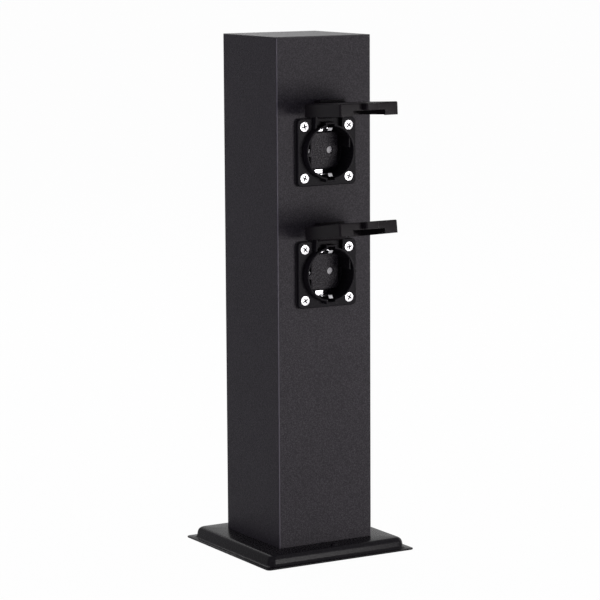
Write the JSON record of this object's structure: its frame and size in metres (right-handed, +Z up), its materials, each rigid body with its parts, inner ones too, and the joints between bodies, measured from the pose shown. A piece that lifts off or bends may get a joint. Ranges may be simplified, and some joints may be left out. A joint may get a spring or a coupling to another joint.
{
  "type": "outdoor socket block",
  "caption": "Square garden column on a pressed foot, with earthed sockets in its front behind hinged splash lids.",
  "frame": {"origin": "middle of the foot's underside, on the floor", "axes": "+Z up along the column, the sockets face -Y, +X to the right as seen from the front"},
  "size_m": [0.128, 0.1727, 0.3895],
  "materials": {
    "column_coat": "fine powder coat",
    "cap_coat": "satin coat",
    "foot_coat": "satin coat",
    "zinc_steel": "zinc plated",
    "screw_steel": "bright",
    "pin_steel": "ground",
    "clip_steel": "nickel plated",
    "contact_brass": "plain",
    "lug_tin": "tinned",
    "lid_plastic": "satin",
    "socket_plastic": "fine grain",
    "shutter_plastic": "satin",
    "carrier_plastic": "satin",
    "gasket_rubber": "matt",
    "seal_rubber": "matt",
    "bush_rubber": "matt",
    "wire_brown": "satin",
    "wire_blue": "satin",
    "wire_green": "satin",
    "spring_steel": "plain"
  },
  "bodies": {
    "column": {"post": "column_coat", "top_cap": "cap_coat", "foot": "foot_coat", "mounting_strap": "zinc_steel", "foot_screws": "foot_coat", "post_screws": "zinc_steel", "cable_bush": "bush_rubber", "link_wire_live": "wire_brown", "link_wire_neutral": "wire_blue", "link_wire_earth": "wire_green", "bond_wire": "wire_green", "earth_stud": "zinc_steel", "earth_lug": "lug_tin", "earth_nut": "zinc_steel", "upper_gasket": "gasket_rubber", "upper_housing": "socket_plastic", "upper_flange_screws": "screw_steel", "upper_hinge_pin": "pin_steel", "upper_carrier": "carrier_plastic", "upper_carrier_screw": "zinc_steel", "upper_contact_left": "contact_brass", "upper_contact_right": "contact_brass", "upper_earth_strap": "clip_steel", "upper_terminal_screws": "zinc_steel", "upper_shutter_spring": "spring_steel", "lower_gasket": "gasket_rubber", "lower_housing": "socket_plastic", "lower_flange_screws": "screw_steel", "lower_hinge_pin": "pin_steel", "lower_carrier": "carrier_plastic", "lower_carrier_screw": "zinc_steel", "lower_contact_left": "contact_brass", "lower_contact_right": "contact_brass", "lower_earth_strap": "clip_steel", "lower_terminal_screws": "zinc_steel", "lower_shutter_spring": "spring_steel"},
    "upper_lid": {"upper_lid": "lid_plastic", "upper_lid_seal": "seal_rubber"},
    "lower_lid": {"lower_lid": "lid_plastic", "lower_lid_seal": "seal_rubber"},
    "upper_shutter": {"upper_shutter": "shutter_plastic"},
    "lower_shutter": {"lower_shutter": "shutter_plastic"}
  },
  "joints": [
    {"name": "upper_lid_hinge", "type": "hinge", "parent": "column", "child": "upper_lid", "pos_m": [0, -0.04725, 0.3338], "axis": [1, 0, 0], "range_deg": [-11.5, 93.5]},
    {"name": "lower_lid_hinge", "type": "hinge", "parent": "column", "child": "lower_lid", "pos_m": [0, -0.04725, 0.2431], "axis": [1, 0, 0], "range_deg": [-6.4, 98.6]},
    {"name": "upper_shutter_turn", "type": "hinge", "parent": "column", "child": "upper_shutter", "pos_m": [0, -0.0302, 0.3045], "axis": [0, 1, 0], "range_deg": [0, 38], "stiffness_Nm_per_rad": 0.004, "springref_deg": -20.05},
    {"name": "lower_shutter_turn", "type": "hinge", "parent": "column", "child": "lower_shutter", "pos_m": [0, -0.0302, 0.2138], "axis": [0, 1, 0], "range_deg": [0, 38], "stiffness_Nm_per_rad": 0.004, "springref_deg": -20.05}
  ]
}
